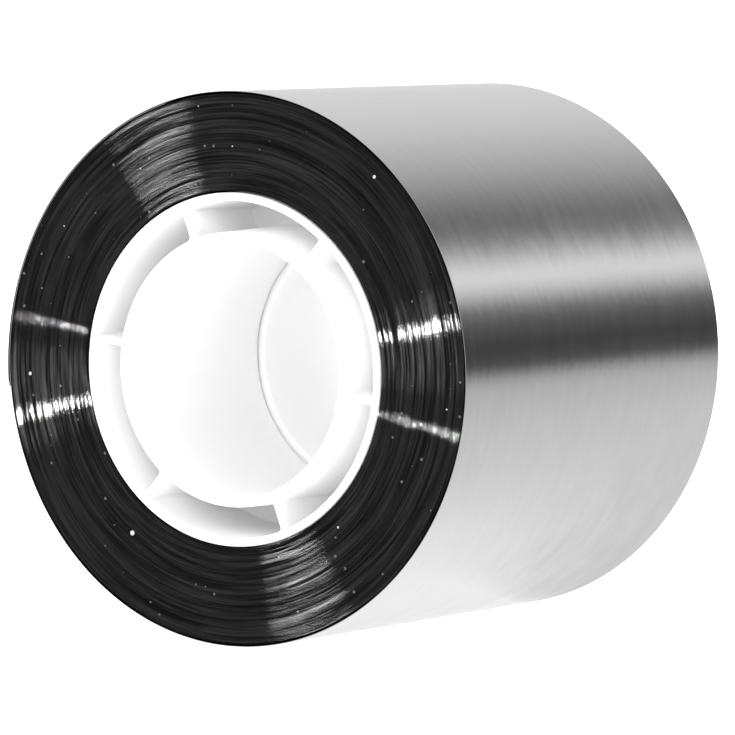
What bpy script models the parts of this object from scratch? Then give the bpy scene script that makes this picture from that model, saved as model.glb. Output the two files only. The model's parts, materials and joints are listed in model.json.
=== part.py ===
"""A roll of copper foil tape on its moulded core, as used for leading stained glass.

The tape is a laminate of three webs: tinned copper foil outside, black adhesive on its back, and a release
film that faces the middle of the roll. It is wound as one spiral on two identical plastic cores that stand end
to end, and a strip of double-sided tape fixes its first end to them. The last stretch of the tape is loose: it
lifts off the roll, and its foil peels off its film, both about one line at the stretch's root.

Frame: metres, +Z up, the roll's axis along Y with its front face at -Y, and the origin in the middle of the
roll. The roll lies on its curved side, as it does on a bench.
"""

import math

import bmesh
import bpy
from mathutils import Matrix, Vector

MM = 0.001

# Driving dimensions
ROLL_RADIUS = 27.5 * MM
TAPE_WIDTH = 48.0 * MM
CORE_RADIUS = 17.5 * MM
BORE_RADIUS = 12.7 * MM  # at each core's front end, its narrowest

# Round surfaces are prisms of FACETS flats, and a radius is measured to the middle of a flat. FACETS is a
# multiple of 4 and the flats are centred on the X and Z axes, so that the roll rests on one of them.
FACETS = 32
STEP = 2 * math.pi / FACETS

# The core moulding. Both of its tubes are drafted from end to end, so its bore widens towards its rear.
CORE_COUNT = 2
CORE_GAP = 0.1 * MM
CORE_LENGTH = (TAPE_WIDTH - (CORE_COUNT - 1) * CORE_GAP) / CORE_COUNT
BORE_DRAFT = 0.7 * MM
INNER_WALL = 0.9 * MM
OUTER_WALL = 0.8 * MM
POCKET_DRAFT = 0.3 * MM  # how much the outer tube thickens from an end to the web
WEB_THICKNESS = 1.2 * MM
RIB_COUNT = 6
RIB_THICKNESS = 0.7 * MM
RIB_RECESS = 0.4 * MM
RIB_BITE = 0.3 * MM  # how far a rib runs into each tube's wall
FIRST_RIB_DEG = 51.0

# The double-sided strip between the cores and the first turn
STRIP_THICKNESS = 0.1 * MM
STRIP_GAP = 0.03 * MM
STRIP_FACETS = 2
STRIP_WIDTH = TAPE_WIDTH - 4.0 * MM

# The winding. Each modelled turn stands for several real ones, and it tapers at both ends of the tape, so that
# the first turn lies round on the cores and the last one leaves the roll round.
TURNS = 9
END_THICKNESS = 0.30 * MM
WINDING_START_RADIUS = CORE_RADIUS + STRIP_THICKNESS + 2 * STRIP_GAP
TURN_PITCH = (ROLL_RADIUS - WINDING_START_RADIUS - 2 * END_THICKNESS) / (TURNS - 1)
WEB_GAP = 0.02 * MM
FILM_SHARE = 0.42
ADHESIVE_SHARE = 0.23
FOIL_SHARE = 1.0 - FILM_SHARE - ADHESIVE_SHARE

# The tape's end, counted in facets. It lies on the left of the roll and points down.
END_VERTEX = 16.5  # the end's polar angle over STEP, counted from +X towards +Z
LOOSE_FACETS = 3
ROOT_GAP = 0.02  # in facets: the slit between the winding and the loose stretch

SHARP_DEG = 30.0  # edges with a sharper fold than this are shaded flat
MERGE_DISTANCE = 0.001 * MM


# ------------------------------------------------------------------------------------------- shared helpers

def clear_scene():
    for old in list(bpy.data.objects):
        bpy.data.objects.remove(old, do_unlink=True)


def material(name, colour, metallic, roughness):
    made = bpy.data.materials.new(name)
    made.use_nodes = True
    shader = made.node_tree.nodes["Principled BSDF"]
    shader.inputs["Base Color"].default_value = (*colour, 1.0)
    shader.inputs["Metallic"].default_value = metallic
    shader.inputs["Roughness"].default_value = roughness
    return made


def add_object(name, bm, finish, parent=None, origin=Vector()):
    """A named object from a bmesh in world coordinates, with its own origin at origin."""
    bmesh.ops.recalc_face_normals(bm, faces=bm.faces)
    bmesh.ops.transform(bm, matrix=Matrix.Translation(-origin), verts=bm.verts)
    mesh = bpy.data.meshes.new(name)
    bm.to_mesh(mesh)
    bm.free()
    mesh.materials.append(finish)
    mesh.shade_smooth()
    mesh.set_sharp_from_angle(angle=math.radians(SHARP_DEG))
    made = bpy.data.objects.new(name, mesh)
    bpy.context.scene.collection.objects.link(made)
    if parent:
        made.parent = parent
        made.location = origin - parent.matrix_world.translation
    else:
        made.location = origin
    return made


def loft(bm, sections):
    """A closed body through sections, lists of points of one length. The first and last are its ends."""
    rings = [[bm.verts.new(point) for point in section] for section in sections]
    count = len(rings[0])
    for ring, following in zip(rings, rings[1:]):
        for i in range(count):
            j = (i + 1) % count
            bm.faces.new((ring[i], ring[j], following[j], following[i]))
    bm.faces.new(rings[0])
    bm.faces.new(rings[-1])


# ------------------------------------------------------------------------------------------------ the cores

def core_profile():
    """(radius, distance from the front end) round one core's wall: two tubes joined by the web."""
    length = CORE_LENGTH
    front_web, rear_web = (length - WEB_THICKNESS) / 2, (length + WEB_THICKNESS) / 2

    def bore(y):
        return BORE_RADIUS + BORE_DRAFT * y / length

    def pocket_outside(y):
        from_middle = abs(2 * y / length - 1)
        return CORE_RADIUS - OUTER_WALL - POCKET_DRAFT * (1 - from_middle)

    front = [
        (CORE_RADIUS, 0.0),
        (pocket_outside(0.0), 0.0),
        (pocket_outside(front_web), front_web),
        (bore(front_web) + INNER_WALL, front_web),
        (bore(0.0) + INNER_WALL, 0.0),
        (bore(0.0), 0.0),
    ]
    rear = [
        (bore(length), length),
        (bore(length) + INNER_WALL, length),
        (bore(rear_web) + INNER_WALL, rear_web),
        (pocket_outside(rear_web), rear_web),
        (pocket_outside(length), length),
        (CORE_RADIUS, length),
    ]
    return front + rear


def turned(bm, profile, front_y):
    """Spins a closed profile of (radius, distance) points about the Y axis, with flats at those radii."""
    corner = 1 / math.cos(STEP / 2)
    turn = Matrix.Rotation(-STEP / 2, 3, "Y")
    ring = [bm.verts.new(turn @ Vector((r * corner, front_y + y, 0.0))) for r, y in profile]
    edges = [bm.edges.new((a, b)) for a, b in zip(ring, ring[1:] + ring[:1])]
    bmesh.ops.spin(
        bm, geom=ring + edges, axis=(0, 1, 0), cent=(0, 0, 0),
        steps=FACETS, angle=2 * math.pi, use_merge=False, use_duplicate=False,
    )
    bmesh.ops.remove_doubles(bm, verts=bm.verts, dist=MERGE_DISTANCE)


def ribs(front_y):
    """The ribs of one core as one tool object, which a Boolean unites with its tubes. A rib's inner edge slopes
    with the draft of the inner tube."""
    rear_inner = BORE_RADIUS + BORE_DRAFT + INNER_WALL - RIB_BITE
    front_inner = rear_inner - BORE_DRAFT
    outer = CORE_RADIUS - OUTER_WALL + RIB_BITE
    front, rear = front_y + RIB_RECESS, front_y + CORE_LENGTH - RIB_RECESS
    outline = ((front_inner, front), (outer, front), (outer, rear), (rear_inner, rear))
    bm = bmesh.new()
    for k in range(RIB_COUNT):
        angle = math.radians(FIRST_RIB_DEG) + k * 2 * math.pi / RIB_COUNT
        turn = Matrix.Rotation(-angle, 3, "Y")
        loft(bm, [
            [turn @ Vector((r, y, side * RIB_THICKNESS / 2)) for r, y in outline] for side in (-1, 1)
        ])
    bmesh.ops.recalc_face_normals(bm, faces=bm.faces)
    mesh = bpy.data.meshes.new("rib_tool")
    bm.to_mesh(mesh)
    bm.free()
    tool = bpy.data.objects.new("rib_tool", mesh)
    bpy.context.scene.collection.objects.link(tool)
    tool.hide_render = True
    tool.display_type = "WIRE"
    return tool


def add_core(name, index, finish):
    front_y = -TAPE_WIDTH / 2 + index * (CORE_LENGTH + CORE_GAP)
    bm = bmesh.new()
    turned(bm, core_profile(), front_y)
    core = add_object(name, bm, finish)
    union = core.modifiers.new("ribs", "BOOLEAN")
    union.operation = "UNION"
    union.solver = "EXACT"
    union.object = ribs(front_y)
    return core


# ---------------------------------------------------------------------------------------------- the winding

def turn_bottom(turn):
    """The radius under the tape, turn turns along it from its first end."""
    return WINDING_START_RADIUS + max(0.0, END_THICKNESS + TURN_PITCH * (turn - 1))


def turn_top(turn):
    """The radius over the tape: the next turn lies on it, and the last turn grows by the tape's thickness."""
    last = ROLL_RADIUS - END_THICKNESS * (TURNS - turn)
    return min(turn_bottom(turn + 1), last)


def web_radii(turn, low_share, high_share):
    """The inner and outer radius of a web that takes the tape's thickness from low_share to high_share."""
    bottom, top = turn_bottom(turn), turn_top(turn)
    low = bottom + (top - bottom) * low_share + WEB_GAP / 2
    high = bottom + (top - bottom) * high_share - WEB_GAP / 2
    return low, high


def web_section(facet, low_share, high_share, width=TAPE_WIDTH):
    """A web's four corners, this many facets along the tape. Between whole facets they lie on a flat."""
    before = math.floor(facet)
    corners = []
    for vertex in (before, before + 1):
        angle = (END_VERTEX + vertex) * STEP
        radii = web_radii(vertex / FACETS, low_share, high_share)
        corners.append([
            Vector((math.cos(angle), 0, math.sin(angle))) * radius / math.cos(STEP / 2) for radius in radii
        ])
    low, high = (corners[0][i].lerp(corners[1][i], facet - before) for i in (0, 1))
    side = Vector((0, width / 2, 0))
    return [low - side, high - side, high + side, low + side]


def add_web(name, shares, first, last, finish, parent=None, origin=Vector()):
    """A web of the tape from facet first to facet last, each counted from the tape's first end."""
    between = range(math.floor(first) + 1, math.ceil(last))
    bm = bmesh.new()
    loft(bm, [web_section(facet, *shares) for facet in (first, *between, last)])
    return add_object(name, bm, finish, parent, origin)


def add_strip(finish):
    """The double-sided strip on the cores, under the start of the first turn."""
    corner = 1 / math.cos(STEP / 2)
    low, high = CORE_RADIUS + STRIP_GAP, CORE_RADIUS + STRIP_GAP + STRIP_THICKNESS
    sections = []
    for vertex in range(STRIP_FACETS + 1):
        angle = (END_VERTEX + vertex) * STEP
        out = Vector((math.cos(angle), 0, math.sin(angle))) * corner
        side = Vector((0, STRIP_WIDTH / 2, 0))
        sections.append([out * low - side, out * high - side, out * high + side, out * low + side])
    bm = bmesh.new()
    loft(bm, sections)
    return add_object("starter_strip", bm, finish)


# ------------------------------------------------------------------------------------------------- the part

def add_pivot(name, place, parent=None):
    pivot = bpy.data.objects.new(name, None)
    bpy.context.scene.collection.objects.link(pivot)
    pivot.empty_display_size = 5 * MM
    if parent:
        pivot.parent = parent
        pivot.location = place - parent.matrix_world.translation
    else:
        pivot.location = place
    bpy.context.view_layer.update()
    return pivot


def main():
    clear_scene()
    plastic = material("white_plastic", (0.86, 0.87, 0.87), 0.0, 0.35)
    strip_tape = material("strip_tape", (0.72, 0.70, 0.62), 0.0, 0.6)
    foil = material("tinned_foil", (0.72, 0.73, 0.74), 1.0, 0.28)
    adhesive = material("black_adhesive", (0.02, 0.02, 0.022), 0.0, 0.45)
    film = material("release_film", (0.07, 0.07, 0.075), 0.0, 0.2)

    for index, name in enumerate(("core_front", "core_rear")):
        add_core(name, index, plastic)
    add_strip(strip_tape)

    film_shares = (0.0, FILM_SHARE)
    adhesive_shares = (FILM_SHARE, FILM_SHARE + ADHESIVE_SHARE)
    foil_shares = (1.0 - FOIL_SHARE, 1.0)
    end = TURNS * FACETS
    root = end - LOOSE_FACETS
    add_web("film_winding", film_shares, 0, root, film)
    add_web("adhesive_winding", adhesive_shares, 0, root, adhesive)
    add_web("foil_winding", foil_shares, 0, root, foil)

    # Both hinges turn about the outer edge of the loose stretch's root.
    hinge_line = web_section(root, *foil_shares)[1]
    hinge_line.y = 0.0
    lift = add_pivot("tape_end_pivot", hinge_line)
    peel = add_pivot("foil_end_pivot", hinge_line, lift)
    start = root + ROOT_GAP
    add_web("film_end", film_shares, start, end, film, lift, hinge_line)
    add_web("adhesive_end", adhesive_shares, start, end, adhesive, peel, hinge_line)
    add_web("foil_end", foil_shares, start, end, foil, peel, hinge_line)


main()
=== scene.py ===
"""The looks of a roll of copper foil tape: foil, wound edges, moulded cores, loose end, light and camera."""

import json
import math

import bmesh
import bpy
import numpy as np
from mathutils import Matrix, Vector

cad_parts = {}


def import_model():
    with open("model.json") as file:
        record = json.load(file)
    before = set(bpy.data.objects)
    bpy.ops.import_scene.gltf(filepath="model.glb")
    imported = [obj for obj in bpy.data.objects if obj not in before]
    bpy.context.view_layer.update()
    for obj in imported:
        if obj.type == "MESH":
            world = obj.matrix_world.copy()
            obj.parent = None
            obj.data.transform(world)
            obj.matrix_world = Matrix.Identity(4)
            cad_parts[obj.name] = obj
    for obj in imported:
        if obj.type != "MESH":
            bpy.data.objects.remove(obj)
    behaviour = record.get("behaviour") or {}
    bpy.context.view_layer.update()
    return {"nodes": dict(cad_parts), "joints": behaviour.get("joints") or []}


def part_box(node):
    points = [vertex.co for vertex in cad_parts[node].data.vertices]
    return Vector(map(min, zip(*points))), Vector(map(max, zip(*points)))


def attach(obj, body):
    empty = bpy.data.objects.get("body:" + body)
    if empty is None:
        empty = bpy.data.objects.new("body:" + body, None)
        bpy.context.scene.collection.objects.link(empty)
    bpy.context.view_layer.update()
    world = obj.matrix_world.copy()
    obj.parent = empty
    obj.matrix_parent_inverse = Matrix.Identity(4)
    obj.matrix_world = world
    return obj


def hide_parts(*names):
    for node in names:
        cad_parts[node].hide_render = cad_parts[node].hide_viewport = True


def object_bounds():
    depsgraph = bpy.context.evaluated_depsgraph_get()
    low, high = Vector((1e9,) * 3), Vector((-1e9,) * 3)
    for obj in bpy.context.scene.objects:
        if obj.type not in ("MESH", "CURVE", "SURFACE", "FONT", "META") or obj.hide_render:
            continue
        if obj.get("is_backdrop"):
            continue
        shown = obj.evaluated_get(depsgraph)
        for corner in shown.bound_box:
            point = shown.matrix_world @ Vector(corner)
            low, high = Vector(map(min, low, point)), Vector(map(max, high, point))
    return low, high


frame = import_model()

MM = 0.001
RNG = np.random.default_rng(7)

# ------------------------------------------------------------------------------- sizes, from the frame

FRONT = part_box("foil_winding")[0].y
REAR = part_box("foil_winding")[1].y
ROLL_RADIUS = 27.5 * MM
CORE_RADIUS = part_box("core_front")[1].x
CORE_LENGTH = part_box("core_front")[1].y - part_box("core_front")[0].y
HINGE = Vector(frame["joints"][0]["pos_m"])
ROOT_ANGLE = math.atan2(HINGE.z, HINGE.x)  # where the loose end begins
END_ANGLE = 2 * math.pi + math.atan2(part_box("foil_end")[0].z, -ROLL_RADIUS)  # where it ends

# ------------------------------------------------------------------------------- the tape, by estimate

FOIL = 0.05 * MM
ADHESIVE = 0.03 * MM
FILM = 0.05 * MM
GAP = 0.01 * MM  # on both sides of the loose film
TAPE = FOIL + ADHESIVE + FILM
TURNS = 74
WINDING_START = CORE_RADIUS + 0.10 * MM


def point(radius, angle, y):
    return (radius * math.cos(angle), y, radius * math.sin(angle))


def new_object(name, data):
    made = bpy.data.objects.new(name, data)
    bpy.context.scene.collection.objects.link(made)
    return made


def mesh_from(name, points, faces, sharp_deg):
    mesh = bpy.data.meshes.new(name)
    mesh.from_pydata(points, [], faces)
    mesh.validate()
    bm = bmesh.new()
    bm.from_mesh(mesh)
    bmesh.ops.recalc_face_normals(bm, faces=bm.faces)
    bm.to_mesh(mesh)
    bm.free()
    mesh.shade_smooth()
    mesh.set_sharp_from_angle(angle=math.radians(sharp_deg))
    return new_object(name, mesh)


# ------------------------------------------------------------------------------- materials


class Nodes:
    """A short way to write a material's node tree."""

    def __init__(self, name):
        self.material = bpy.data.materials.new(name)
        self.material.use_nodes = True
        self.tree = self.material.node_tree
        self.shader = self.tree.nodes["Principled BSDF"]

    def add(self, kind, *sources, **settings):
        """A new node. The sources feed its inputs in order, and each is a socket, a value or None."""
        node = self.tree.nodes.new("ShaderNode" + kind)
        for key, value in settings.items():
            setattr(node, key, value)
        for socket, source in zip(node.inputs, sources):
            self.feed(socket, source)
        return node

    def feed(self, socket, source):
        if source is None:
            return
        if isinstance(source, (int, float, tuple)):
            socket.default_value = source
        else:
            self.tree.links.new(source, socket)

    def math(self, operation, *sources):
        return self.add("Math", *sources, operation=operation).outputs[0]

    def set(self, name, value):
        self.feed(self.shader.inputs[name], value)

    def blend(self, first, share, second):
        """The first by its share and the second by the rest."""
        return self.math(
            "ADD", self.math("MULTIPLY", first, share), self.math("MULTIPLY", second, 1 - share)
        )

    def position(self):
        return self.add("TexCoord").outputs["Object"]

    def radius(self):
        x, _, z = self.add("SeparateXYZ", self.position()).outputs
        squares = self.math("ADD", self.math("MULTIPLY", x, x), self.math("MULTIPLY", z, z))
        return self.math("SQRT", squares)

    def cylindrical(self, around, radial, axial):
        """Seamless texture space round the roll's axis. Its first two axes turn with the angle, and the
        third goes across the turns and along the axis. The arguments are the frequencies."""
        x, y, z = self.add("SeparateXYZ", self.position()).outputs
        radius = self.radius()
        return self.add(
            "CombineXYZ",
            self.math("MULTIPLY", self.math("DIVIDE", x, radius), around),
            self.math("MULTIPLY", self.math("DIVIDE", z, radius), around),
            self.math("ADD", self.math("MULTIPLY", radius, radial), self.math("MULTIPLY", y, axial)),
        ).outputs[0]

    def noise(self, vector, scale=1.0, detail=3.0, roughness=0.5):
        node = self.add("TexNoise", noise_dimensions="3D")
        node.inputs["Scale"].default_value = scale
        node.inputs["Detail"].default_value = detail
        node.inputs["Roughness"].default_value = roughness
        self.feed(node.inputs["Vector"], vector)
        return node.outputs["Fac"]

    def specks(self, cells, size, share):
        """1 on small round specks on a side face. Of so many cells a metre, a share has one."""
        x, _, z = self.add("SeparateXYZ", self.position()).outputs
        flat = self.add("CombineXYZ", x, z).outputs[0]
        cell = self.add("TexVoronoi", voronoi_dimensions="2D")
        cell.inputs["Scale"].default_value = cells
        self.feed(cell.inputs["Vector"], flat)
        draw, reach, _ = self.add("SeparateXYZ", cell.outputs["Color"]).outputs
        near = self.math("LESS_THAN", cell.outputs["Distance"], self.math("MULTIPLY", reach, size))
        return self.math("MULTIPLY", near, self.math("LESS_THAN", draw, share))

    def remap(self, value, low, high, to_low, to_high):
        node = self.add("MapRange")
        ends = {"From Min": low, "From Max": high, "To Min": to_low, "To Max": to_high}
        for socket, number in ends.items():
            node.inputs[socket].default_value = number
        self.feed(node.inputs["Value"], value)
        return node.outputs["Result"]

    def mix(self, factor, first, second):
        node = self.add("Mix", data_type="RGBA")
        self.feed(node.inputs["Factor"], factor)
        self.feed(node.inputs[6], (*first, 1.0) if isinstance(first, tuple) else first)
        self.feed(node.inputs[7], (*second, 1.0) if isinstance(second, tuple) else second)
        return node.outputs[2]

    def greys(self, factor, dark, light):
        return self.mix(factor, (dark, dark, dark), (light, light, light))

    def bump(self, height, strength, distance, normal=None):
        node = self.add("Bump")
        node.inputs["Strength"].default_value = strength
        node.inputs["Distance"].default_value = distance
        self.feed(node.inputs["Height"], height)
        self.feed(node.inputs["Normal"], normal)
        return node.outputs["Normal"]

    def round_tangent(self):
        return self.add("Tangent", direction_type="RADIAL", axis="Y").outputs[0]

    def grooves_round_the_axis(self):
        """Brushed highlights for grooves that run round the roll: the blur is across them."""
        self.set("Tangent", self.round_tangent())
        self.set("Anisotropic", 1.0)
        self.set("Anisotropic Rotation", 0.25)

    def add_grooved_gloss(self, share, roughness, sharpness, normal):
        """Mixes in bare metal with fine grooves round the axis. Small lights make thin lines in it."""
        gloss = self.add("BsdfAnisotropic", distribution="BECKMANN")
        gloss.inputs["Color"].default_value = (0.85, 0.85, 0.85, 1.0)
        gloss.inputs["Roughness"].default_value = roughness
        gloss.inputs["Anisotropy"].default_value = sharpness
        self.feed(gloss.inputs["Normal"], normal)
        self.feed(gloss.inputs["Tangent"], self.round_tangent())
        mixed = self.add("MixShader", share, self.shader.outputs[0], gloss.outputs[0])
        self.tree.links.new(mixed.outputs[0], self.tree.nodes["Material Output"].inputs["Surface"])


def foil_material():
    """Tinned foil: bright, with rolling lines along the tape and a slight waviness."""
    m = Nodes("tinned_foil")
    lines = m.noise(m.cylindrical(1.5, 0.0, 4200.0), detail=4.0, roughness=0.65)
    streaks = m.noise(m.cylindrical(4.0, 0.0, 700.0), detail=4.0, roughness=0.6)
    mottle = m.noise(m.position(), scale=260.0, detail=4.0)
    tone = m.blend(streaks, 0.5, mottle)
    m.set("Base Color", m.greys(m.remap(tone, 0.35, 0.65, 0.0, 1.0), 0.82, 0.92))
    m.set("Metallic", 1.0)
    m.set("Roughness", m.remap(tone, 0.3, 0.7, 0.15, 0.22))
    m.grooves_round_the_axis()
    fine = m.bump(lines, 0.10, 0.02 * MM)
    m.set("Normal", m.bump(streaks, 1.0, 0.022 * MM, fine))
    return m.material


def wound_edge_material():
    """The side of the winding: dark film and adhesive, small pale specks, and the foil's cut edges between
    them.

    The dark part reflects nothing of its own. All the shine is the small share of bare metal."""
    m = Nodes("wound_edges")
    lines = m.noise(m.cylindrical(2.5, 9000.0, 0.0), detail=2.0, roughness=0.7)
    bands = m.noise(m.cylindrical(1.8, 2600.0, 0.0), detail=3.0, roughness=0.6)
    ridges = m.noise(m.cylindrical(1.0, 4500.0, 0.0), detail=2.0, roughness=0.6)
    tone = m.blend(lines, 0.65, bands)
    dark = m.greys(m.remap(tone, 0.40, 0.64, 0.0, 1.0), 0.004, 0.016)
    # Small pale specks over the dark tone, in two sizes and greys.
    specked_dark = m.mix(m.specks(900.0, 0.14, 0.08), dark, (0.10, 0.10, 0.10))
    m.set("Base Color", m.mix(m.specks(240.0, 0.06, 0.09), specked_dark, (0.55, 0.55, 0.55)))
    m.set("Roughness", m.remap(tone, 0.35, 0.65, 0.30, 0.45))
    m.set("Specular IOR Level", 0.0)
    ridged = m.bump(ridges, 1.0, 0.03 * MM)
    m.set("Normal", ridged)
    shine = m.remap(m.blend(lines, 0.45, bands), 0.46, 0.64, 0.0, 0.034)
    m.add_grooved_gloss(shine, 0.16, 0.95, ridged)
    return m.material


def plastic_material():
    """The cores' white moulded plastic: satin and slightly translucent."""
    m = Nodes("white_plastic")
    mottle = m.noise(m.position(), scale=120.0, detail=4.0)
    grain = m.noise(m.position(), scale=1800.0, detail=2.0)
    m.set("Base Color", m.greys(m.remap(mottle, 0.3, 0.7, 0.0, 1.0), 0.96, 0.98))
    m.set("Roughness", m.remap(grain, 0.3, 0.7, 0.30, 0.42))
    m.set("Subsurface Weight", 0.4)
    m.set("Subsurface Radius", (1.0, 1.0, 1.0))
    m.set("Subsurface Scale", 2.0 * MM)
    m.set("Normal", m.bump(grain, 0.08, 0.05 * MM))
    return m.material


def adhesive_material():
    m = Nodes("black_adhesive")
    ripple = m.noise(m.position(), scale=900.0, detail=3.0)
    m.set("Base Color", m.mix(ripple, (0.012, 0.012, 0.013), (0.035, 0.035, 0.037)))
    m.set("Roughness", m.remap(ripple, 0.3, 0.7, 0.38, 0.5))
    m.set("Specular IOR Level", 0.2)
    m.set("Normal", m.bump(ripple, 0.15, 0.02 * MM))
    return m.material


def film_material():
    m = Nodes("release_film")
    haze = m.noise(m.cylindrical(2.0, 0.0, 900.0), detail=3.0)
    m.set("Base Color", m.mix(haze, (0.05, 0.05, 0.055), (0.10, 0.10, 0.105)))
    m.set("Roughness", m.remap(haze, 0.3, 0.7, 0.12, 0.26))
    m.set("Coat Weight", 0.4)
    m.set("Normal", m.bump(haze, 0.1, 0.02 * MM))
    return m.material


def strip_material():
    m = Nodes("strip_tape")
    fibre = m.noise(m.position(), scale=1500.0, detail=4.0)
    m.set("Base Color", m.mix(fibre, (0.62, 0.60, 0.52), (0.78, 0.76, 0.68)))
    m.set("Roughness", m.remap(fibre, 0.3, 0.7, 0.5, 0.7))
    m.set("Normal", m.bump(fibre, 0.3, 0.02 * MM))
    return m.material


def floor_material():
    """A pale floor with a little light of its own, so that shadows on it are faint."""
    m = Nodes("pale_floor")
    grain = m.noise(m.position(), scale=40.0, detail=3.0)
    m.set("Base Color", m.greys(grain, 0.88, 0.90))
    m.set("Roughness", 0.9)
    m.set("Specular IOR Level", 0.1)
    m.set("Emission Color", (1.0, 1.0, 1.0, 1.0))
    m.set("Emission Strength", 0.8)
    return m.material


# ------------------------------------------------------------------------------- the cores

BORE_RADIUS = 12.7 * MM
BORE_DRAFT = 0.7 * MM
INNER_WALL = 0.9 * MM
OUTER_WALL = 0.8 * MM
POCKET_DRAFT = 0.3 * MM
WEB_THICKNESS = 1.2 * MM
POCKET_DEPTH = (CORE_LENGTH - WEB_THICKNESS) / 2
EDGE_FILLET = 0.16 * MM
FOOT_FILLET = 0.3 * MM
FILLET_STEPS = 4
RIB_COUNT = 6
RIB_THICKNESS = 0.7 * MM
RIB_RECESS = 0.4 * MM
FIRST_RIB = math.radians(51.0)
POCKET_STEPS = 26


def rounded(corners, radii):
    """A closed outline of (r, y) corners, each replaced by an arc-like run of FILLET_STEPS + 1 points."""
    outline = []
    count = len(corners)
    for i, radius in enumerate(radii):
        corner = Vector(corners[i])
        before = (Vector(corners[i - 1]) - corner).normalized() * radius
        after = (Vector(corners[(i + 1) % count]) - corner).normalized() * radius
        for k in range(FILLET_STEPS + 1):
            t = k / FILLET_STEPS
            outline.append(corner + before * (1 - t) ** 2 + after * t ** 2)
    return outline


def core_outline(depth):
    """One core's wall as (radius, distance from its front end), with pockets that deep at both ends."""
    length = CORE_LENGTH
    rear_web = length - POCKET_DEPTH

    def bore(y):
        return BORE_RADIUS + BORE_DRAFT * y / length

    def outside(y):
        return CORE_RADIUS - OUTER_WALL - POCKET_DRAFT * (1 - abs(2 * y / length - 1))

    corners = [
        (CORE_RADIUS, 0), (outside(0), 0),
        (outside(POCKET_DEPTH), depth), (bore(POCKET_DEPTH) + INNER_WALL, depth),
        (bore(0) + INNER_WALL, 0), (bore(0), 0),
        (bore(length), length), (bore(length) + INNER_WALL, length),
        (bore(rear_web) + INNER_WALL, length - depth), (outside(rear_web), length - depth),
        (outside(length), length), (CORE_RADIUS, length),
    ]
    edge, foot = EDGE_FILLET, FOOT_FILLET
    radii = [edge, edge, foot, foot, edge, edge, edge, edge, foot, foot, edge, edge]
    return rounded(corners, radii)


def rib_stations():
    """Half a rib as (distance from its middle plane, depth below its top as a share): its flat top, its
    rounded edge, its drafted side and the fillet at its foot."""
    half = RIB_THICKNESS / 2
    depth = POCKET_DEPTH - RIB_RECESS
    return [
        (0.0, 0.0),
        (half - 0.12 * MM, 0.0),
        (half - 0.05 * MM, 0.02 * MM / depth),
        (half - 0.01 * MM, 0.06 * MM / depth),
        (half, 0.13 * MM / depth),
        (half + 0.07 * MM, 1 - 0.35 * MM / depth),
        (half + 0.11 * MM, 1 - 0.14 * MM / depth),
        (half + 0.22 * MM, 1 - 0.03 * MM / depth),
        (half + 0.40 * MM, 1.0),
    ]


def core_stations():
    """All round a core: (angle, distance from a rib's plane, share of the pocket's depth)."""
    half = rib_stations()
    pitch = 2 * math.pi / RIB_COUNT
    reach = math.asin(half[-1][0] / BORE_RADIUS)
    span = pitch - 2 * reach
    stations = []
    for k in range(RIB_COUNT):
        angle = FIRST_RIB + k * pitch
        stations += [(angle, -d, share) for d, share in reversed(half[1:])]
        stations += [(angle, d, share) for d, share in half]
        stations += [(angle + reach + span * i / POCKET_STEPS, 0.0, 1.0) for i in range(1, POCKET_STEPS)]
    return stations


def core_piece(name, front_y):
    pocket, rib = core_outline(POCKET_DEPTH), core_outline(RIB_RECESS)
    stations = core_stations()
    points, faces = [], []
    for angle, distance, share in stations:
        for on_rib, in_pocket in zip(rib, pocket):
            r, y = on_rib.lerp(in_pocket, share)
            points.append(point(r, angle + math.asin(distance / r), front_y + y))
    count, n = len(stations), len(pocket)
    for i in range(count):
        j = (i + 1) % count
        for k in range(n):
            m = (k + 1) % n
            faces.append((i * n + k, i * n + m, j * n + m, j * n + k))
    return mesh_from(name, points, faces, 50)


# ------------------------------------------------------------------------------- the wound turns

STATIONS = 144  # around one turn
# Across one turn: (share of its thickness, recess in mm). The foil's edge stands proud of the film's.
SAMPLES = ((0.0, 0.014), (0.45, 0.014), (0.60, 0.0), (0.88, 0.0))
INSET = 0.03  # mm, of the turns' edges from the side faces
# How unevenly the turns lie: (size in mm, knots round the roll, turns that move together)
WANDERS = ((0.006, 9, 1), (0.014, 5, 4))
WANDER_LIMITS = (-0.03, 0.08)  # mm


def smooth_noise(turns, knots, reach):
    """Seeded values for each turn and angle, smooth round the roll and, over reach turns, across it."""
    table = RNG.normal(size=(turns + 2 * reach, knots))
    window = np.hanning(2 * reach + 1)
    window /= np.sqrt((window ** 2).sum())
    table = np.apply_along_axis(lambda column: np.convolve(column, window, "valid"), 0, table)
    at = np.arange(STATIONS) * knots / STATIONS
    low, share = at.astype(int), at - at.astype(int)
    share = share * share * (3 - 2 * share)
    return table[:, low] * (1 - share) + table[:, (low + 1) % knots] * share


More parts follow.
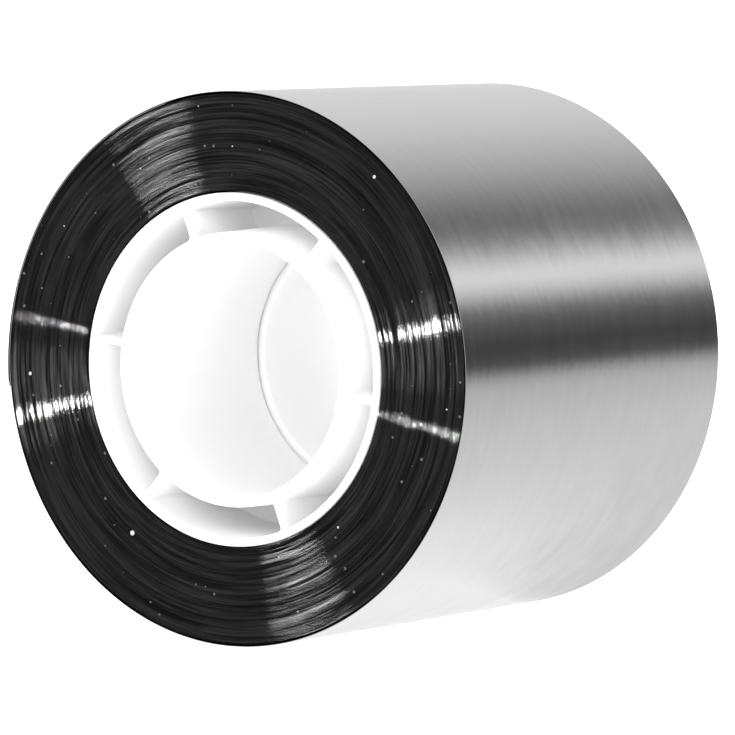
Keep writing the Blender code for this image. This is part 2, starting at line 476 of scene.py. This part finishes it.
def wound_turns(name, outer_radius):
    """The winding under the outer turn, one closed body whose two sides carry the edge of every turn."""
    total = TURNS * STATIONS
    pitch = (outer_radius - WINDING_START) / (TURNS + 1)
    wander = sum(size * smooth_noise(TURNS + 2, knots, reach) for size, knots, reach in WANDERS)
    wander = np.clip(wander.ravel(), *WANDER_LIMITS)
    points, index = [], {}
    for side, face in ((1, FRONT), (-1, REAR)):
        for c, (share, recess) in enumerate(SAMPLES):
            last = total + STATIONS if c == 0 else total
            for s in range(last + 1):
                angle = END_ANGLE + 2 * math.pi * s / STATIONS
                radius = WINDING_START + pitch * (s / STATIONS + share)
                inset = recess + INSET + float(wander[min(s, len(wander) - 1)])
                index[side, c, s] = len(points)
                points.append(point(radius, angle, face + side * inset * MM))
    faces = []
    n = len(SAMPLES)

    def line(c, s):
        """After a turn's last sample comes the next turn's first."""
        return (c, s) if c < n else (0, s + STATIONS)

    for side in (1, -1):
        for s in range(total):
            for c in range(n):
                corners = (line(c, s), line(c + 1, s), line(c + 1, s + 1), line(c, s + 1))
                faces.append(tuple(index[side, *p] for p in corners))

    def wall(path):
        for p, q in zip(path, path[1:]):
            faces.append((index[1, *p], index[1, *q], index[-1, *q], index[-1, *p]))

    wall([(0, s) for s in range(STATIONS + 1)])
    wall([line(c, 0) for c in range(n + 1)])
    wall([(0, s) for s in range(total, total + STATIONS + 1)])
    wall([line(c, total) for c in range(n + 1)])
    return mesh_from(name, points, faces, 80)


# ------------------------------------------------------------------------------- the outer turn and its end

WIDTH_STEPS = 24
OUTER_TURN_STEPS = 420
LOOSE_END_STEPS = 40
LAP = math.radians(45)  # how far the outer turn goes on under its own start
OUTER_START = ROOT_ANGLE - 2 * math.pi - LAP
OUTER_RISE = 0.02 * MM  # of the tape's end past the roll's radius
END_LIFT = 0.14 * MM
UNDER_GAP = 1.2 * FOIL + 0.03 * MM  # from the foil's outer surface down to the winding
# As angles:
SLIT = 0.0004  # between the outer turn and the loose end
END_MARGIN = 0.01  # the loose end stops this far short
ADHESIVE_SHORT = 0.003  # the adhesive ends this far before the foil
FILM_PAST = 0.01  # the film ends this far past the margin
FILM_SLANT = 0.2  # share of the foil's slant and unevenness that the film's end has


def strip_piece(name, inner, outer, start, stop, steps, end_shape=None):
    """A closed thin strip round the axis. inner and outer give its radii at (angle, y), and end_shape(y)
    moves its far end round the roll by an angle."""
    points, faces = [], []
    ys = [FRONT + (REAR - FRONT) * j / WIDTH_STEPS for j in range(WIDTH_STEPS + 1)]
    for i in range(steps + 1):
        t = i / steps
        for y in ys:
            angle = start + (stop - start) * t + (end_shape(y) * t ** 4 if end_shape else 0.0)
            points.append(point(inner(angle, y), angle, y))
            points.append(point(outer(angle, y), angle, y))
    row = 2 * (WIDTH_STEPS + 1)

    def at(i, j, k):
        return i * row + 2 * j + k

    for i in range(steps):
        for j in range(WIDTH_STEPS):
            faces.append((at(i, j, 1), at(i, j + 1, 1), at(i + 1, j + 1, 1), at(i + 1, j, 1)))
            faces.append((at(i, j, 0), at(i + 1, j, 0), at(i + 1, j + 1, 0), at(i, j + 1, 0)))
        for j in (0, WIDTH_STEPS):
            faces.append((at(i, j, 0), at(i, j, 1), at(i + 1, j, 1), at(i + 1, j, 0)))
    for i in (0, steps):
        for j in range(WIDTH_STEPS):
            faces.append((at(i, j, 0), at(i, j + 1, 0), at(i, j + 1, 1), at(i, j, 1)))
    return mesh_from(name, points, faces, 40)


def outer_surface(angle, y):
    """The foil's outer radius on the last turn, with the slight unevenness of tape wound by machine."""
    back = (END_ANGLE - angle) / (2 * math.pi)
    slow = 0.010 * MM * math.sin(2.0 * angle + 90 * y)
    quick = 0.006 * MM * math.sin(5.0 * angle - 210 * y + 1.0)
    return ROLL_RADIUS + OUTER_RISE - TAPE * back + slow + quick


def lift(angle):
    """How far the loose end stands off the turn below it, because the tape wants to lie straight."""
    along = (angle - ROOT_ANGLE) / (END_ANGLE - ROOT_ANGLE)
    return END_LIFT * max(0.0, along) ** 2


def cut(y):
    """The slight slant and unevenness of the tape's cut end, as an angle."""
    return 0.004 * math.sin(260 * y) + 0.012 * (y / (REAR - FRONT)) + 0.003 * math.sin(900 * y)


def foil_outer_turn():
    def inner(angle, y):
        return outer_surface(angle, y) - FOIL

    return strip_piece(
        "foil_outer_turn", inner, outer_surface, OUTER_START, ROOT_ANGLE, OUTER_TURN_STEPS
    )


def loose_strip(name, depth, thickness, end_shape):
    """One web of the loose end, at that depth below the foil's outer surface."""

    def outer(angle, y):
        return outer_surface(angle, y) + lift(angle) - depth

    def inner(angle, y):
        return outer(angle, y) - thickness

    start, stop = ROOT_ANGLE + SLIT, END_ANGLE - END_MARGIN
    return strip_piece(name, inner, outer, start, stop, LOOSE_END_STEPS, end_shape)


# ------------------------------------------------------------------------------- build the pieces

foil, edges, plastic = foil_material(), wound_edge_material(), plastic_material()
adhesive, film, strip = adhesive_material(), film_material(), strip_material()


def dress(piece, finish, slot, body, *nodes):
    piece.data.materials.clear()
    piece.data.materials.append(finish)
    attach(piece, body)
    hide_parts(*nodes)


for core_name in ("core_front", "core_rear"):
    core = core_piece(core_name + "_moulding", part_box(core_name)[0].y)
    dress(core, plastic, "core_plastic", "roll", core_name)

winding = wound_turns("wound_turns", outer_surface(OUTER_START, 0) - UNDER_GAP)
dress(winding, edges, "foil", "roll", "adhesive_winding", "film_winding")
dress(foil_outer_turn(), foil, "foil", "roll", "foil_winding")

foil_end = loose_strip("foil_loose_end", 0.0, FOIL, cut)
dress(foil_end, foil, "foil", "loose_foil", "foil_end")

adhesive_end = loose_strip("adhesive_loose_end", FOIL, ADHESIVE, lambda y: cut(y) - ADHESIVE_SHORT)
dress(adhesive_end, adhesive, "adhesive", "loose_foil", "adhesive_end")

film_end = loose_strip(
    "film_loose_end", FOIL + ADHESIVE + GAP, FILM - 2 * GAP, lambda y: FILM_PAST + FILM_SLANT * cut(y)
)
dress(film_end, film, "release_film", "loose_film", "film_end")

starter = frame["nodes"]["starter_strip"]
starter.data.materials.clear()
starter.data.materials.append(strip)

# ------------------------------------------------------------------------------- floor and flag

FLOOR_HALF = 14.0
FLOOR_DROP = 0.02 * MM
FLAG_CENTRE = (14 * MM, 60 * MM, -26 * MM)
FLAG_RADIUS = 34 * MM
FLAG_CORNERS = 32
FLAG_LEVEL = 0.66


def floor():
    mesh = bpy.data.meshes.new("floor")
    mesh.from_pydata([(-1, -1, 0), (1, -1, 0), (1, 1, 0), (-1, 1, 0)], [], [(0, 1, 2, 3)])
    made = new_object("floor", mesh)
    made.scale = (FLOOR_HALF, FLOOR_HALF, 1.0)
    made.location.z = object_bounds()[0].z - FLOOR_DROP
    mesh.materials.append(floor_material())
    made.visible_glossy = False
    made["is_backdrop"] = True


def grey_flag():
    """A dim round card behind the roll, seen only in the foil: it shades the lower rear of the cylinder."""
    m = Nodes("grey_flag")
    m.set("Base Color", (0.0, 0.0, 0.0, 1.0))
    m.set("Emission Color", (FLAG_LEVEL, FLAG_LEVEL, FLAG_LEVEL, 1.0))
    m.set("Emission Strength", 1.0)
    mesh = bpy.data.meshes.new("grey_flag")
    corners = [point(FLAG_RADIUS, 2 * math.pi * k / FLAG_CORNERS, 0.0) for k in range(FLAG_CORNERS)]
    mesh.from_pydata(corners, [], [tuple(range(FLAG_CORNERS))])
    mesh.materials.append(m.material)
    flag = new_object("grey_flag", mesh)
    flag.location = FLAG_CENTRE
    flag.visible_camera = flag.visible_diffuse = flag.visible_shadow = flag.visible_transmission = False
    flag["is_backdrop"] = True


floor()
grey_flag()

# ------------------------------------------------------------------------------- light

# What the foil mirrors: (degrees about the roll's axis from +X towards +Z, brightness). The angles and
# the first levels follow the photo's grey levels along the foil. They were then adjusted.
SURROUND = (
    (-180, 0.84), (-116, 0.98), (-74, 0.87), (-51, 0.67), (-24, 0.54), (-10, 0.43), (-6.5, 0.23),
    (-3.5, 0.060), (6, 0.052), (15, 0.09), (21, 0.16), (28, 0.54), (34, 0.84), (41, 0.60), (48, 0.24),
    (56, 0.115), (63, 0.12), (80, 0.36), (97, 0.50), (113, 0.64), (140, 0.73), (180, 0.80),
)
FRONT_Y, REAR_Y = -0.25, 0.15  # the direction along the axis where the strength starts and stops changing
FRONT_STRENGTH, REAR_STRENGTH = 0.62, 1.09


def fill_ramp(ramp):
    """SURROUND as the stops of a colour ramp whose 0 to 1 is -180 to 180 degrees."""
    stops = ramp.color_ramp.elements
    stops[0].position, stops[1].position = 0.0, 1.0
    for k, (degrees, level) in enumerate(SURROUND):
        position = (degrees + 180) / 360
        stop = stops[0] if k == 0 else stops[-1] if k == len(SURROUND) - 1 else stops.new(position)
        stop.position = position
        stop.color = (level, level, level, 1.0)


def world():
    """A surround of graded brightness for what the roll mirrors, and plain white for the camera."""
    made = bpy.data.worlds.new("studio")
    bpy.context.scene.world = made
    made.use_nodes = True
    tree = made.node_tree
    tree.nodes.clear()

    def add(kind, **inputs):
        """A new node. Each keyword is an input's name, with its space as _, and a socket or a value."""
        node = tree.nodes.new("ShaderNode" + kind)
        for name, source in inputs.items():
            socket = node.inputs[name.replace("_", " ")]
            if isinstance(source, bpy.types.NodeSocket):
                tree.links.new(source, socket)
            else:
                socket.default_value = source
        return node

    x, y, z = add("SeparateXYZ", Vector=add("TexCoord").outputs["Generated"]).outputs
    turn = add("Math")
    turn.operation = "ARCTAN2"
    tree.links.new(z, turn.inputs[0])
    tree.links.new(x, turn.inputs[1])
    place = add("MapRange", Value=turn.outputs[0], From_Min=-math.pi, From_Max=math.pi)
    ramp = add("ValToRGB", Fac=place.outputs["Result"])
    fill_ramp(ramp)
    strength = add(
        "MapRange", Value=y, From_Min=FRONT_Y, From_Max=REAR_Y, To_Min=FRONT_STRENGTH, To_Max=REAR_STRENGTH
    )
    strength.interpolation_type = "SMOOTHSTEP"
    seen = add("Background", Color=ramp.outputs["Color"], Strength=strength.outputs["Result"])
    plain = add("Background", Color=(1.0, 1.0, 1.0, 1.0))
    choose = add("MixShader", Fac=add("LightPath").outputs["Is Camera Ray"])
    tree.links.new(seen.outputs[0], choose.inputs[1])
    tree.links.new(plain.outputs[0], choose.inputs[2])
    add("OutputWorld", Surface=choose.outputs[0])


only_winding = bpy.data.collections.new("only_winding")
only_winding.objects.link(winding)


def area_light(name, direction, distance, size, power, glossy=False):
    """A soft round light aimed at the roll. A glossy one is only seen reflected in the wound edges."""
    data = bpy.data.lights.new(name, "AREA")
    data.energy = power
    data.size = size
    data.shape = "DISK"
    made = new_object(name, data)
    made.location = Vector(direction).normalized() * distance
    made.rotation_mode = "QUATERNION"
    made.rotation_quaternion = (-made.location).to_track_quat("-Z", "Y")
    made.visible_glossy = glossy
    made.visible_diffuse = not glossy
    made.visible_camera = False
    if glossy:
        made.light_linking.receiver_collection = only_winding


def sun():
    made = new_object("sun", bpy.data.lights.new("sun", "SUN"))
    made.data.energy = 1.6
    made.data.angle = math.radians(60)
    made.visible_glossy = False


UPPER_LEFT = (-0.786, -0.381, 0.487)

world()
area_light("fill_front", (0.40, -1.0, 0.30), 1.2, 0.9, 7.0)
area_light("fill_rear", (0.50, 0.55, 1.0), 1.2, 0.9, 7.0)
area_light("fill_left", UPPER_LEFT, 3.0, 0.62, 46.0)
area_light("sheen_left", UPPER_LEFT, 3.0, 0.40, 210.0, glossy=True)
area_light("sheen_left_halo", UPPER_LEFT, 3.1, 0.88, 350.0, glossy=True)
area_light("spark_front", (0.035, -0.998, 0.06), 3.0, 0.09, 300.0, glossy=True)
area_light("glow_front", (0.042, -1.0, 0.02), 3.05, 0.8, 50.0, glossy=True)
area_light("spark_left", (-0.945, -0.33, 0.005), 3.0, 0.03, 85.0, glossy=True)
area_light("sheen_rear", (0.85, 0.30, 0.45), 3.0, 0.80, 300.0, glossy=True)
area_light("spark_rear", (0.035, 0.998, 0.06), 3.0, 0.09, 250.0, glossy=True)
sun()

# ------------------------------------------------------------------------------- camera

AZIMUTH, ELEVATION = math.radians(33.58), math.radians(3.75)
DISTANCE = 22.24 * ROLL_RADIUS
SENSOR = 36.0
FOCAL_SHARE = 6000 / 735  # focal length over the picture's width
AIM_RIGHT, AIM_DOWN = 0.11 * MM, 1.11 * MM
CLIP_NEAR, CLIP_FAR = 0.01, 100.0

camera = new_object("camera", bpy.data.cameras.new("camera"))
camera.data.sensor_width = SENSOR
camera.data.lens = SENSOR * FOCAL_SHARE
camera.data.clip_start, camera.data.clip_end = CLIP_NEAR, CLIP_FAR
back = Vector((
    math.sin(AZIMUTH) * math.cos(ELEVATION), -math.cos(AZIMUTH) * math.cos(ELEVATION), math.sin(ELEVATION)
))
right = Vector((math.cos(AZIMUTH), math.sin(AZIMUTH), 0.0))
target = right * AIM_RIGHT - back.cross(right) * AIM_DOWN
camera.location = back * DISTANCE
camera.rotation_mode = "QUATERNION"
camera.rotation_quaternion = (target - camera.location).to_track_quat("-Z", "Y")
bpy.context.scene.camera = camera
bpy.context.scene.view_settings.view_transform = "Standard"
